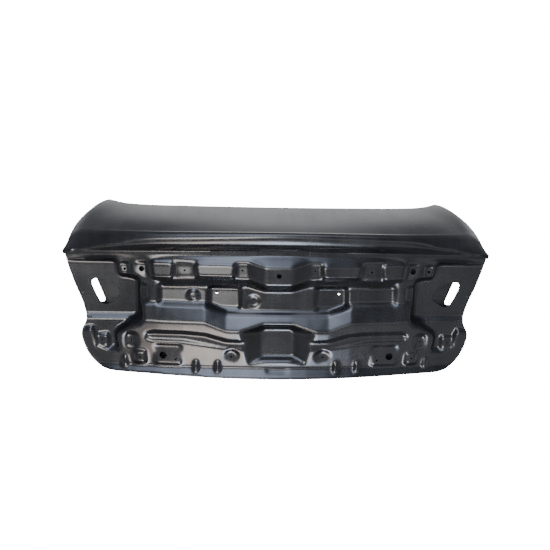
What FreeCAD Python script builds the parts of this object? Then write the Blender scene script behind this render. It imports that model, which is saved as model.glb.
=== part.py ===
"""Car trunk lid, bare: an upper skin with a lip, a deep-drawn back panel, an inner panel and its reinforcements.

Frame: millimetres, X across the car, Y towards its front, Z up. The origin is the centre of the four hinge
bolts, on the lower face of the inner panel's hinge seats. The lid is shown shut, as it lies on the car.
Each sheet is the space between two dies. A die is the solid in front of the back panel, or under the skin,
and the second die of a pair is the same form moved in by the sheet's thickness, with its walls moved too.
Depths of the back panel count forward from its plan curve, an arc whose middle is the lip's rear edge.
"""

import FreeCAD
import Part
import math
import os

from FreeCAD import Vector

# Sheet thicknesses and clearances
SKIN_T = 0.8
PANEL_T = 0.8
INNER_T = 0.7
PATCH_T = 1.5
FOLD_GAP = 0.15  # each side of a sheet held in a hem
SEAM_GAP = 0.2  # the sealed lap of the back panel's flange behind the skin's flange
PATCH_GAP = 0.1  # a reinforcement and the sheet it is welded to

# Overall places
LIP_Y = -300.0  # the lip's rear edge at the middle
PANEL_BOW_RADIUS = 3000.0
SEAM_DEPTH = 30.0  # the seam behind the lip's rear edge at the middle
SEAM_BOW = 55.0  # how far forward the seam runs between the middle and the lip's tip
TIP_X = 690.0  # the middle to the lip's tip
SEAM_LOW = (-74.0, -86.0)  # height of the lower edge of the skin's flange, at the middle and at the tips
SEAM_HIGH = (-60.0, -79.0)  # height of its upper edge
FRONT_REACH = 480.0  # front end of every die
DIE_TOP_Z = 100.0
DIE_BOTTOM_Z = -500.0
HEM_WIDTH = 12.0
FRONT_CORNER_R = 7.0

# Sections of the skin: half width, then points as (distance forward of the lip, height)
SKIN_SECTIONS = (
    (0, ((410, 41), (353, 36), (265, 28.5), (176, 20.5), (88, 11.5), (20, 2.6)), ((6, 0.4), (0, -4.5)),
     ((-1, -12), (0, -24), (4, -36), (11, -46))),
    (150, ((410, 41), (354, 36.3), (265, 28.6), (176, 20.2), (92, 10.7), (26, 1.3)), ((12, -1), (5.5, -6)),
     ((3.8, -13.5), (4.2, -25.5), (8, -37.5), (15, -47))),
    (300, ((415, 41.5), (355, 37), (265, 29), (176, 19.5), (104, 9.4), (41, -1.8)), ((26, -4.8), (18.5, -10)),
     ((16, -18), (16, -30), (19, -41), (26, -50))),
    (440, ((430, 43.5), (365, 38.5), (275, 30), (190, 19.5), (122, 8), (64, -5)), ((50, -9), (41, -15)),
     ((37.5, -23), (36, -35), (37.5, -45), (42, -53))),
    (540, ((460, 47.5), (396, 43), (295, 31), (210, 17.5), (150, 5), (97, -8.5)), ((83, -13), (72, -20)),
     ((65, -29), (59, -40), (56, -49), (57, -57))),
    (610, ((470, 48), (405, 43), (310, 29), (235, 13.5), (182, 0.5), (135, -12.5)), ((122, -17), (108, -24)),
     ((96, -34), (83, -45), (75, -54), (70, -62))),
    (650, ((470, 41), (405, 35), (310, 20.5), (240, 5), (198, -6.5), (163, -18.5)), ((152, -23), (139, -30)),
     ((124, -40), (104, -52), (89, -61), (78, -69))),
    (690, ((470, 19), (405, 12.5), (310, -3.5), (240, -19), (200, -31), (169, -42.5)), ((158, -47), (146, -52)),
     ((131, -58.5), (110, -65.5), (93, -70.5), (77, -74.5))),
    (712, ((470, 6), (405, -1.5), (310, -18), (240, -33), (202, -44), (173, -55)), ((163, -59), (151, -63)),
     ((136, -67), (114, -72.5), (96, -76), (80, -78.5))),
)
SKIN_FRONT = ((0, 353), (150, 354), (300, 356), (440, 362), (510, 374), (552, 398), (583, 430))
SKIN_SIDE = ((583, 430), (604, 402), (638, 300), (668, 215), (681, 132), (690, 76))

# Stations of the back panel: half width, beam face depth, its upper and lower edge, recess floor depth, its
# upper and lower edge, depth and height of the step under it, height of the lower face's upper edge
PANEL_STATIONS = (
    (0, 5, -106, -168, 38, -191, -260, 24, -265, -318),
    (42, 5, -106, -168, 38, -191, -260, 24, -265, -318),
    (95, 20, -94, -150, 38, -178, -260, 24, -265, -318),
    (165, 20, -94, -147, 37, -178, -259, 23, -264, -318),
    (235, 20, -94, -147, 35, -178, -234, 20, -238, -291),
    (300, 20, -93, -152, 34, -179, -234, 20, -238, -291),
    (374, 20, -93, -157, 33, -180, -234, 19, -238, -291),
    (390, 21, -93, -157, 22, -180, -234, 18, -238, -291),
    (460, 22, -93, -157, 22.5, -180, -236, 15, -240, -291),
    (530, 22, -93, -157, 22.5, -180, -238, 12, -242, -291),
    (600, 17, -94, -157, 17.5, -180, -240, 8, -244, -292),
    (660, 10, -96, -157, 10.5, -180, -240, 4, -244, -292),
    (720, 4, -98, -157, 4.5, -180, -240, 0.5, -244, -292),
)
LOWER_BREAK = (9.0, -372.0)  # depth and height of the lower face's faint middle crease
LOWER_END = (20.0, -443.0)  # where the bottom flange starts
FLANGE_END = (0.0, -476.0)  # the lid's lower edge
PANEL_SIDE = ((682, -84), (655, -178), (632, -236), (619, -283))
PANEL_WAIST_X = 619.0
PANEL_CORNER = ((628, -322), (633, -345), (625, -384), (605, -425), (567, -457), (515, -466))
PANEL_BOTTOM = ((515, -466), (383, -469), (194, -474), (0, -476))
HEM_TOP_Z = -100.0  # the back panel's hem starts under the lip's tips

# Raised and sunk seats of the back panel: middle, half widths at top and bottom, upper and lower edge, depth,
# corner radius, wall run per millimetre. Each is made on both sides.
BARS = ((202.0, 60.0, 58.0, -104.0, -142.0, 9.0, 7.0),
        (372.0, 34.0, 32.0, -102.0, -150.0, 10.0, 7.0))
TRIM_SEATS = ((116.0, 18.0, 18.0, -100.0, -144.0, 22.0, 4.0),
              (299.0, 21.0, 21.0, -105.0, -145.0, 20.0, 4.0),
              (436.0, 19.0, 19.0, -104.0, -147.0, 25.0, 4.0),
              (491.0, 14.0, 16.0, -110.0, -148.0, 29.0, 6.0))
RECESS_SEATS = ((171.0, 49.0, 49.0, -182.0, -249.0, 46.0, 8.0),)
CHANNELS = ((430.0, 11.0, 11.0, -178.0, -229.0, 31.0, 9.0),)
LAMP_SEAT = ((700, -286), (720, -106), (520, -106), (515, -150), (452, -165), (452, -286))
LAMP_SEAT_DEPTH = 90.0
LAMP_WALL_RUN = 0.4
# Pocket under the lamp seat, as its floor and as its rim 48 mm further back, with the side flare under it
POCKET_FLOOR = ((545, -392), (570, -388), (580, -370), (588, -340), (598, -322), (640, -332), (700, -332),
                (700, -270), (466, -268), (476, -296), (498, -318), (518, -332), (524, -350), (518, -388))
POCKET_RIM = ((541, -408), (582, -402), (596, -376), (602, -342), (606, -326), (640, -340), (700, -340),
              (700, -262), (440, -266), (440, -297), (476, -312), (508, -328), (511, -350), (503, -406))
POCKET_DEPTH = 78.0
POCKET_REACH = 48.0
PLAIN_HOLES = ((368.0, -406.0, 12.0), (327.0, -418.0, 3.5), (197.0, -200.0, 4.0), (148.0, -405.0, 3.0),
               (628.0, -214.0, 4.0))  # half width, height and radius
KEY_HOLE = (0.0, -134.0, 8.0)
TRIM_HOLE_R = (3.5, 3.5, 9.0, 4.5)
LOWER_HOLE_R = (3.5, 4.5, 4.5)
LAMP_OPENING = ((600, -174), (590, -166), (558, -171), (531, -184), (509, -208), (516, -231), (543, -248),
                (555, -252.5), (570, -246), (583, -222), (597, -190))
LAMP_ACCESS = ((557, -250), (598, -250), (628, -165), (592, -165))  # hole of the inner panel behind it
LOWER_SEATS = ((352.0, 42.0, 42.0, -370.0, -436.0, 13.0, 6.0),
               (443.0, 16.0, 16.0, -395.0, -433.0, 6.0, 5.0),
               (470.0, 15.0, 19.0, -337.0, -383.0, 14.0, 12.0),
               (566.0, 17.0, 17.0, -348.0, -387.0, 17.0, 5.0))
DARTS = ((192.0, 2.5, 6.0, -424.0, -458.0, 9.0, 1.5), (262.0, 2.5, 6.0, -424.0, -458.0, 9.0, 1.5),
         (493.0, 2.5, 7.0, -416.0, -446.0, 10.0, 1.5))
SCOOP = ((0.0, 44.0, 34.0, -428.0, -453.0, 19.0, 12.0),)
ROUND_SEATS = ((148.0, -405.0, 22.0, 17.0, False), (-79.0, -225.0, 18.0, 42.0, False),
               (-271.0, -207.0, 15.0, 28.0, True))  # middle, radius, depth, and whether it is raised
ROUND_RUN = 0.6
GROOVE = ((98, -355, -377), (165, -353, -375), (235, -334, -363), (300, -330, -353), (405, -331, -353),
          (421, -337, -347))  # half width, upper and lower edge of the long groove
GROOVE_FLOOR = 12.0
LATCH_RECESS = ((-112, -320), (-46, -293), (46, -293), (112, -320), (119, -440), (46, -417), (-46, -417),
                (-119, -440))
LATCH_FLOOR = ((-52, -326), (-46, -315), (46, -315), (52, -326), (52, -404), (46, -411), (-46, -411),
               (-52, -404))
LATCH_DEPTH = 39.0
LATCH_RIM_DEPTH = 8.0
LATCH_WALL_RUN = 1.8
GROOVE_RUN = 0.8

# Inner panel
FIELD_DEPTH = 64.0  # its upright field behind the plan curve
BAY_RISE = 7.0  # the bays' floor over the hinge seats
RIB_PLANE = (-2.5, 0.094)  # the ribs' tops: height at the lip's edge and rise per millimetre forward
DECK_FIELD = ((640, 60), (622, 250), (585, 368), (480, 333), (0, 320))
FIELD_INSET = 22.0  # the upright field inside the lid's outline, half way up its walls
FIELD_WALL_RUN = 0.4
FIELD_NEAR = 200.0  # depths that the upright field's walls span
FIELD_FAR = -20.0
BAY_WALL_RUN = 0.4
BAYS = (((-262, 60), (262, 60), (262, 318), (-262, 318)),
        ((318, 90), (606, 90), (596, 250), (572, 345), (318, 322)),
        ((-318, 322), (-572, 345), (-596, 250), (-606, 90), (-318, 90)))
BAY_CUTOUTS = (((-205, 150), (205, 150), (190, 270), (-190, 270)),)
SIDE_CUTOUT = ((352, 160), (438, 160), (438, 300), (352, 290))
HINGE_X = 500.0
HINGE_PITCH = 50.0
HINGE_SEAT_HALF = (52.0, 44.0)
HINGE_PATCH_HALF = (46.0, 38.0)
LATCH_Z = -385.0
LATCH_PITCH = 64.0
LATCH_PATCH_HALF = (58.0, 27.0)
FIELD_CUTOUTS = (((120, -330), (250, -330), (250, -205), (120, -205)),
                 ((290, -330), (392, -330), (392, -215), (290, -215)))
CUTOUT_R = 22.0
LATCH_WINDOW_HALF = (20.0, 17.0)
M8_HOLE_R = 4.5
M6_HOLE_R = 3.5
M8_NUT = (14.5, 9.0)  # width and height of a square weld nut
M6_NUT = (11.0, 6.5)
M8_THREAD_R = 4.0
M6_THREAD_R = 3.0
MASTIC_R = 11.0
MASTIC_GAP = 0.3
MASTIC_X = 290.0
MASTIC_DEPTHS = (150.0, 215.0, 280.0)


def bow(x):
    """Depth of the back panel's plan curve at a distance from the middle."""
    return PANEL_BOW_RADIUS - math.sqrt(PANEL_BOW_RADIUS ** 2 - x ** 2)


def seam_depth(x):
    """Depth of the seam between the skin and the back panel."""
    return SEAM_DEPTH + SEAM_BOW * (x / TIP_X) ** 2


def seam_height(x, ends):
    """Height of a line that follows the seam, from its heights at the middle and at the tips."""
    return ends[0] + (ends[1] - ends[0]) * (x / TIP_X) ** 2


def shifted(points, distance, closed=False):
    """Moves a line of plane points to its left side, keeping its corners mitred."""
    count = len(points)
    result = []
    for index, (a, b) in enumerate(points):
        normals = []
        for start in (index - 1, index):
            if not closed and (start < 0 or start > count - 2):
                continue
            first = points[start % count]
            last = points[(start + 1) % count]
            length = math.hypot(last[0] - first[0], last[1] - first[1])
            normals.append(((first[1] - last[1]) / length, (last[0] - first[0]) / length))
        na, nb = normals[0]
        ma, mb = normals[-1]
        share = distance / (1.0 + na * ma + nb * mb)
        if len(normals) == 1:
            share = distance / 2.0
            result.append((a + 2.0 * na * share, b + 2.0 * nb * share))
        else:
            result.append((a + (na + ma) * share, b + (nb + mb) * share))
    return result


def front_view(point, depth=0.0):
    """Space point of (half width, height) at a depth behind the lip's rear edge."""
    return Vector(point[0], LIP_Y + depth, point[1])


def plan_view(point, height=0.0):
    """Space point of (half width, depth) at a height."""
    return Vector(point[0], LIP_Y + point[1], height)


def spline(points):
    """Edge of a smooth curve through the points."""
    curve = Part.BSplineCurve()
    curve.interpolate(points)
    return curve.toShape()


def curve_wire(segments, inset, place):
    """Closed wire of curves, each ("line", "arc" or "curve", its points), drawn anticlockwise and moved in."""
    points = []
    for _, part_points in segments:
        points.extend(part_points[:-1])
    moved = [place(point) for point in shifted(points, inset, closed=True)]
    moved.append(moved[0])
    edges = []
    start = 0
    for kind, part_points in segments:
        run = moved[start:start + len(part_points)]
        start += len(part_points) - 1
        if kind == "arc":
            edges.append(Part.Arc(run[0], run[1], run[2]).toShape())
        elif kind == "curve":
            edges.append(spline(run))
        else:
            edges.extend(Part.makeLine(a, b) for a, b in zip(run, run[1:]))
    return Part.Wire(edges)


def rounded_wire(points, radius, place):
    """Closed wire of straight sides joined by arcs of one radius."""
    count = len(points)
    edges = []
    corners = []
    for index in range(count):
        corner = Vector(points[index][0], points[index][1], 0)
        before = Vector(points[index - 1][0], points[index - 1][1], 0) - corner
        after = Vector(points[(index + 1) % count][0], points[(index + 1) % count][1], 0) - corner
        half = before.getAngle(after) / 2.0
        cut = radius / math.tan(half)
        bisector = before.normalize() + after.normalize()
        middle = corner + bisector.normalize() * (radius / math.sin(half) - radius)
        corners.append((corner + before * cut, middle, corner + after * cut))
    for index in range(count):
        start, middle, end = [place((p.x, p.y)) for p in corners[index]]
        following = place((corners[(index + 1) % count][0].x, corners[(index + 1) % count][0].y))
        edges.append(Part.Arc(start, middle, end).toShape())
        edges.append(Part.makeLine(end, following))
    return Part.Wire(edges)


def mirrored(shape):
    """The same shape on the other side of the car."""
    return shape.mirror(Vector(0, 0, 0), Vector(1, 0, 0))


def skin_die(inset):
    """Solid under the skin's outer face, moved in by a distance."""
    wires = []
    halves = [section for section in SKIN_SECTIONS if section[0] > 0]
    stations = [(-section[0], section) for section in reversed(halves)]
    stations += [(section[0], section) for section in SKIN_SECTIONS]
    for x, (_, deck, lip, band) in stations:
        seam = seam_depth(x)
        line = list(deck) + list(lip) + list(band)
        line += [(seam, seam_height(x, SEAM_HIGH)), (seam, DIE_BOTTOM_Z - 20.0)]
        line = shifted(line, inset)
        nodes = [Vector(x, LIP_Y + y, z) for y, z in line]
        turn = len(deck)
        down = turn + len(lip)
        foot = down + len(band)
        edges = [spline(nodes[:turn])]
        edges.append(Part.Arc(nodes[turn - 1], nodes[turn], nodes[turn + 1]).toShape())
        edges.append(spline(nodes[down - 1:foot]))
        edges.append(Part.makeLine(nodes[foot - 1], nodes[foot]))
        edges.append(Part.makeLine(nodes[foot], nodes[foot + 1]))
        back_low = Vector(x, LIP_Y + FRONT_REACH, nodes[-1].z)
        back_high = Vector(x, LIP_Y + FRONT_REACH, nodes[0].z)
        edges.append(Part.makeLine(nodes[-1], back_low))
        edges.append(Part.makeLine(back_low, back_high))
        edges.append(Part.makeLine(back_high, nodes[0]))
        wires.append(Part.Wire(edges))
    return Part.makeLoft(wires, True, False)


def panel_die(inset):
    """Solid in front of the back panel's outer face without its seats, moved in by a distance."""
    wires = []
    stations = [(-row[0], row) for row in reversed(PANEL_STATIONS) if row[0] > 0]
    stations += [(row[0], row) for row in PANEL_STATIONS]
    for x, row in stations:
        beam, beam_high, beam_low, floor, floor_high, floor_low, step, step_z, lower_z = row[1:]
        flange = seam_depth(x) + SKIN_T + SEAM_GAP
        run = (FLANGE_END[0] - LOWER_END[0]) / (FLANGE_END[1] - LOWER_END[1])
        end = LOWER_END[0] + run * (DIE_BOTTOM_Z - LOWER_END[1])
        line = [(flange, DIE_TOP_Z), (flange, seam_height(x, SEAM_LOW) - SKIN_T)]
        line += [(bow(x) + depth, z) for depth, z in (
            (beam, beam_high), (beam, beam_low), (floor, floor_high), (floor, floor_low), (step, step_z),
            (0.0, lower_z), LOWER_BREAK, LOWER_END, (end, DIE_BOTTOM_Z))]
        line = shifted(line, inset)
        nodes = [Vector(x, LIP_Y + y, z) for y, z in line]
        nodes.append(Vector(x, LIP_Y + FRONT_REACH, nodes[-1].z))
        nodes.append(Vector(x, LIP_Y + FRONT_REACH, nodes[0].z))
        wires.append(Part.makePolygon(nodes + [nodes[0]]))
    return Part.makeLoft(wires, True, True)


def wall_growth(run, inset):
    """How far a drafted wall's outline moves when its sheet is moved in by a distance."""
    return inset * (math.sqrt(1.0 + run ** 2) - run)


def drafted(points, radius, depth, reach, run, x_middle=0.0):
    """Prism with drafted walls from an outline at a depth, growing over its reach towards the rear or front."""
    grown = shifted(points, -run * abs(reach), closed=True)
    near = rounded_wire(points, radius, lambda p: front_view(p, depth))
    far = rounded_wire(grown, radius + run * abs(reach), lambda p: front_view(p, depth + reach))
    tool = Part.makeLoft([near, far], True, True)
    turn = math.degrees(math.asin(x_middle / PANEL_BOW_RADIUS))
    tool.rotate(Vector(0, LIP_Y + depth, 0), Vector(0, 0, 1), turn)
    tool.translate(Vector(x_middle, 0, 0))
    return tool


def seat_outline(seat):
    """Outline of a seat about its own middle, anticlockwise seen from behind the car."""
    _, half_top, half_bottom, top, bottom, _, _ = seat
    return [(half_bottom, bottom), (half_top, top), (-half_top, top), (-half_bottom, bottom)]


def seat_tools(seat, inset, rear=16.0, front=22.0, run=0.45):
    """The prism that clears a seat's face and the prism that fills behind it, for one die."""
    x, depth, radius = seat[0], seat[5], seat[6]
    level = bow(x) + depth + inset
    growth = wall_growth(run, inset)
    outline = seat_outline(seat)
    clearing = drafted(shifted(outline, -growth, closed=True), radius, level, -rear, run, x)
    filling = drafted(shifted(outline, growth, closed=True), radius, level, front, run, x)
    return clearing, filling


def prism(wire, vector):
    """Straight solid on a closed wire."""
    return Part.Face(wire).extrude(vector)


def plan_prism(inset):
    """Upright solid over the skin's plan outline, moved in at its front and sides. The rear stays clear."""
    right = list(reversed(SKIN_SIDE))
    front = list(reversed(SKIN_FRONT)) + [(-x, y) for x, y in SKIN_FRONT[1:]]
    left = [(-x, y) for x, y in SKIN_SIDE]
    segments = (
        ("line", [(TIP_X, -60.0), right[0]]),
        ("curve", right),
        ("curve", front),
        ("curve", left),
        ("line", [left[-1], (-TIP_X, -60.0), (TIP_X, -60.0)]),
    )
    height = DIE_TOP_Z - DIE_BOTTOM_Z
    solid = prism(curve_wire(segments, inset, lambda p: plan_view(p, DIE_BOTTOM_Z)), Vector(0, 0, height))
    corners = [edge for edge in solid.Edges
               if abs(edge.Length - height) < 1.0 and edge.CenterOfMass.y > LIP_Y + SKIN_FRONT[0][1]]
    return solid.makeFillet(FRONT_CORNER_R, corners)


def rear_prism(inset):
    """Solid along the car over the back panel's outline, moved in at its sides and its bottom."""
    low = list(reversed(PANEL_CORNER))
    side = list(reversed(PANEL_SIDE))
    waist = (PANEL_WAIST_X, (low[-1][1] + side[0][1]) / 2.0)
    bottom = list(reversed(PANEL_BOTTOM))
    shoulder = side[-1][1] + 12.0
    segments = (
        ("curve", [(-x, z) for x, z in PANEL_BOTTOM] + bottom[1:]),
        ("curve", low),
        ("arc", [low[-1], waist, side[0]]),
        ("curve", side),
        ("line", [side[-1], (TIP_X, shoulder), (TIP_X, DIE_TOP_Z), (-TIP_X, DIE_TOP_Z), (-TIP_X, shoulder),
                  (-side[-1][0], side[-1][1])]),
        ("curve", [(-x, z) for x, z in PANEL_SIDE]),
        ("arc", [(-side[0][0], side[0][1]), (-waist[0], waist[1]), (-low[-1][0], low[-1][1])]),
        ("curve", [(-x, z) for x, z in PANEL_CORNER]),
    )
    wire = curve_wire(segments, inset, lambda p: front_view(p, -60.0))
    return prism(wire, Vector(0, FRONT_REACH + 80.0, 0))


def below(ends, reach):
    """Solid under a line across the car that follows the seam, from its heights at the middle and the tips."""
    wide = TIP_X + 40.0
    points = [(-wide, seam_height(wide, ends)), (0.0, ends[0]), (wide, seam_height(wide, ends))]
    nodes = [front_view(p, -60.0) for p in points]
    low = [front_view((wide, reach), -60.0), front_view((-wide, reach), -60.0)]
    if ends[0] == ends[1]:
        edges = [Part.makeLine(nodes[0], nodes[2])]
    else:
        edges = [Part.Arc(nodes[0], nodes[1], nodes[2]).toShape()]
    edges += [Part.makeLine(nodes[2], low[0]), Part.makeLine(low[0], low[1]), Part.makeLine(low[1], nodes[0])]
    return prism(Part.Wire(edges), Vector(0, FRONT_REACH + 80.0, 0))


def hem_levels(sheet):
    """Depths of a hem's faces under the outer face of its sheet."""
    fold = sheet + 2 * FOLD_GAP + INNER_T
    return (0.0, sheet, fold, fold + sheet)


def hemmed(dies, edge, fold, strip):
    """Sheet with its edge folded back over a held sheet, from the dies of its faces and its three trims."""
    outer, under, fold_top, fold_under = dies
    held = fold.common(under).cut(fold_top.cut(strip))
    return outer.common(edge).cut([held, fold_under])


def skin():
    """Upper outer sheet: deck, lip, band and seam flange, hemmed at its front and sides."""
    dies = [skin_die(level) for level in hem_levels(SKIN_T)]
    sheet = hemmed(dies, plan_prism(0.0), plan_prism(SKIN_T), plan_prism(HEM_WIDTH))
    return sheet.cut(below(SEAM_LOW, DIE_BOTTOM_Z - 30.0))


def hole(x, z, radius, y_start=-60.0):
    """Round hole cutter along the car."""
    return Part.makeCylinder(radius, 200.0, front_view((x, z), y_start), Vector(0, 1, 0))


def groove_tool(inset):
    """Cutter of the long groove beside the latch recess, for one die."""
    growth = wall_growth(GROOVE_RUN, inset)
    wires = []
    for x, top, low in GROOVE:
        x += inset if x == GROOVE[-1][0] else 0.0
        floor = bow(x) + GROOVE_FLOOR + inset
        rise = 2.0 * GROOVE_FLOOR
        points = [(floor - rise, top + growth + rise * GROOVE_RUN), (floor, top + growth), (floor, low - growth),
                  (floor - rise, low - growth - rise * GROOVE_RUN)]
        nodes = [Vector(x, LIP_Y + y, z) for y, z in points]
        wires.append(Part.makePolygon(nodes + nodes[:1]))
    return Part.makeLoft(wires, True, True)


def back_features(inset):
    """The cutting and filling prisms of the back panel's seats for one die, in the order they are made."""
    steps = []
    growth = wall_growth(LATCH_WALL_RUN, inset)
    outer = shifted(list(reversed(LATCH_RECESS)), -growth, closed=True)
    floor = shifted(list(reversed(LATCH_FLOOR)), -growth, closed=True)
    rear = [(fx + (ox - fx) * 2.0, fz + (oz - fz) * 2.0) for (ox, oz), (fx, fz) in zip(outer, floor)]
    reach = 2.0 * (LATCH_DEPTH - LATCH_RIM_DEPTH)
    latch = Part.makeLoft([
        Part.makePolygon([front_view(p, LATCH_DEPTH + inset) for p in floor + floor[:1]]),
        Part.makePolygon([front_view(p, LATCH_DEPTH + inset - reach) for p in rear + rear[:1]])], True, True)
    groove = groove_tool(inset)
    steps.append(([latch, groove, mirrored(groove)], []))
    steps.append(([], paired(BARS + DARTS, inset)[1]))
    steps.append((paired(RECESS_SEATS + CHANNELS + SCOOP, inset)[0], []))
    steps.append(paired(TRIM_SEATS + LOWER_SEATS, inset))
    steps.append(round_tools(inset))
    return steps


def paired(seats, inset):
    """The clearing and the filling prisms of seats that lie on both sides of the car, for one die."""
    clearing = []
    filling = []
    for seat in seats:
        clear, fill = seat_tools(seat, inset)
        clearing += [clear, mirrored(clear)] if seat[0] > 0 else [clear]
        filling += [fill, mirrored(fill)] if seat[0] > 0 else [fill]
    return clearing, filling


def round_tools(inset):
    """Cones of the round seats on both sides, and of the boss and the dent that lie on the left side."""
    clearing = []
    filling = []
    for x, z, radius, depth, raised in ROUND_SEATS:
        growth = wall_growth(ROUND_RUN, inset)
        middle = front_view((x, z), bow(x) + depth + inset)
        if raised:
            cone = Part.makeCone(radius - growth, radius - growth + 12.0 * ROUND_RUN, 12.0, middle, Vector(0, 1, 0))
            filling.append(cone)
        else:
            cone = Part.makeCone(radius + growth, radius + growth + 15.0 * ROUND_RUN, 15.0, middle,
                                 Vector(0, -1, 0))
            clearing += [cone, mirrored(cone)] if x > 0 else [cone]
    return clearing, filling


def lamp_seat_tools(inset):
    """Cutters of the two level seats round the lamp openings and of the pockets under them, for one die."""
    growth = wall_growth(LAMP_WALL_RUN, inset)
    outline = shifted(list(LAMP_SEAT), -growth, closed=True)
    lamp = drafted(outline, 12.0, LAMP_SEAT_DEPTH + inset, -70.0, LAMP_WALL_RUN)
    wires = []
    for points, depth in ((POCKET_FLOOR, POCKET_DEPTH), (POCKET_RIM, POCKET_DEPTH - POCKET_REACH)):
        nodes = [front_view(p, depth + inset) for p in shifted(list(points), -growth, closed=True)]
        wires.append(Part.makePolygon(nodes + nodes[:1]))
    pocket = Part.makeLoft(wires, True, True)
    return [lamp, mirrored(lamp), pocket, mirrored(pocket)]


def rim_die(inset):
    """Solid in front of the back panel's outer face with its lamp seats only, moved in by a distance."""
    return panel_die(inset).cut(lamp_seat_tools(inset))


def lamp_cutters(points):
    """Cutters along the car of an opening on the right side and of its twin on the left."""
    opening = prism(rounded_wire(list(points), 9.0, lambda p: front_view(p, -60.0)), Vector(0, FRONT_REACH, 0))
    return [opening, mirrored(opening)]


def back_panel():
    """Lower outer sheet: seam flange, ledge, trim seats, recesses, lamp openings and latch recess."""
    dies = []
    for inset in (0.0, PANEL_T):
        die = rim_die(inset)
        for clearing, filling in back_features(inset):
            if clearing:
                die = die.cut(clearing)
            if filling:
                die = die.fuse(filling)
        dies.append(die)
    levels = hem_levels(PANEL_T)
    top = rear_prism(0.0).common(below(SEAM_HIGH, DIE_BOTTOM_Z))
    sheet = dies[0].cut(dies[1]).common(top)
    strip = below((HEM_TOP_Z, HEM_TOP_Z), DIE_BOTTOM_Z).common(rear_prism(0.0)).cut(rear_prism(HEM_WIDTH))
    under = rim_die(levels[1]).common(strip)
    held = under.cut(rim_die(levels[2])).common(rear_prism(PANEL_T))
    fold = under.cut([rim_die(levels[3]), held])
    holes = lamp_cutters(LAMP_OPENING) + [hole(*KEY_HOLE)]
    for x, z, radius in trim_holes():
        holes += [hole(x, z, radius), hole(-x, z, radius)]
    return sheet.fuse(fold).cut(holes)


def trim_holes():
    """Middle and radius of each hole on the right half of the back panel."""
    rows = [(seat[0], (seat[3] + seat[4]) / 2.0, radius)
            for seat, radius in zip(TRIM_SEATS, TRIM_HOLE_R)]
    rows += [(seat[0], (seat[3] + seat[4]) / 2.0, radius)
             for seat, radius in zip(LOWER_SEATS[1:], LOWER_HOLE_R)]
    rows += [(x, z, radius) for x, z, radius in PLAIN_HOLES]
    return rows


def plan_recess(points, floor, radius, inset):
    """Cutter open to the top with a level floor and drafted walls, for one die."""
    rise = 60.0
    growth = wall_growth(BAY_WALL_RUN, inset)
    low = rounded_wire(shifted(points, -growth, closed=True), radius, lambda p: plan_view(p, floor))
    high = rounded_wire(shifted(points, -growth - rise * BAY_WALL_RUN, closed=True),
                        radius + rise * BAY_WALL_RUN, lambda p: plan_view(p, floor + rise))
    return Part.makeLoft([low, high], True, True)


def rib_plane_tool(inset):
    """Cutter that keeps the ribs' sloping tops under the skin by the mastic's thickness, for one die."""
    rise = 60.0
    growth = wall_growth(BAY_WALL_RUN, inset)
    half = list(DECK_FIELD)
    points = half + [(-x, y) for x, y in reversed(half) if x > 0.0]
    low = shifted(points, -growth, closed=True)
    high = shifted(points, -growth - rise * BAY_WALL_RUN, closed=True)
    wires = []
    for outline, lift in ((low, 0.0), (high, rise)):
        nodes = [plan_view(p, RIB_PLANE[0] + RIB_PLANE[1] * p[1] - inset + lift) for p in outline]
        wires.append(Part.makePolygon(nodes + nodes[:1]))
    return Part.makeLoft(wires, True, True)


def inner_die(inset):
    """Solid inside both outer sheets and in front of the inner panel's rear face, moved in by a distance."""
    held = FOLD_GAP + inset
    solid = skin_die(SKIN_T + held).common(rim_die(PANEL_T + held))
    field = BAY_RISE + INNER_T - inset
    tools = [rib_plane_tool(inset)]
    for points in BAYS:
        tools.append(plan_recess(list(points), field, 25.0, inset))
    for x in (HINGE_X, -HINGE_X):
        half_x, half_y = HINGE_SEAT_HALF
        near = -LIP_Y - half_y
        seat = [(x - half_x, near), (x + half_x, near), (x + half_x, near + 2 * half_y),
                (x - half_x, near + 2 * half_y)]
        tools.append(plan_recess(seat, INNER_T - inset, 12.0, inset))
    return solid.cut(tools + [upright_recess(inset)])


def upright_recess(inset):
    """Cutter that sets the inner panel's upright field forward of its rim, for one die."""
    growth = wall_growth(FIELD_WALL_RUN, inset)
    level = FIELD_DEPTH + inset
    middle = PANEL_BOW_RADIUS + LIP_Y + level
    curve = Part.makeCylinder(PANEL_BOW_RADIUS, 620.0, Vector(0, middle, -500), Vector(0, 0, 1))
    slab = Part.makeBox(1500, 400, 620, Vector(-750, LIP_Y - 200, -500)).cut(curve)
    run = (FIELD_NEAR - FIELD_FAR) * FIELD_WALL_RUN / 2.0
    near = rear_field_wire(FIELD_INSET + run - growth, FIELD_NEAR)
    far = rear_field_wire(FIELD_INSET - run - growth, FIELD_FAR)
    return slab.common(Part.makeLoft([near, far], True, True))


def rear_field_wire(inset, depth):
    """Outline of the upright field at a depth, inside the back panel's outline."""
    low_x, low_z = PANEL_CORNER[3]
    waist_x, waist_z = PANEL_SIDE[3]
    top_x = PANEL_SIDE[1][0]
    low = PANEL_BOTTOM[1][1] + inset
    half = [(low_x - 70.0 - inset, low), (low_x - inset, low_z + 10.0), (waist_x - inset, waist_z),
            (top_x - inset, 90.0)]
    points = half + [(-x, z) for x, z in reversed(half)]
    return rounded_wire(points, 18.0, lambda p: front_view(p, depth))


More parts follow.
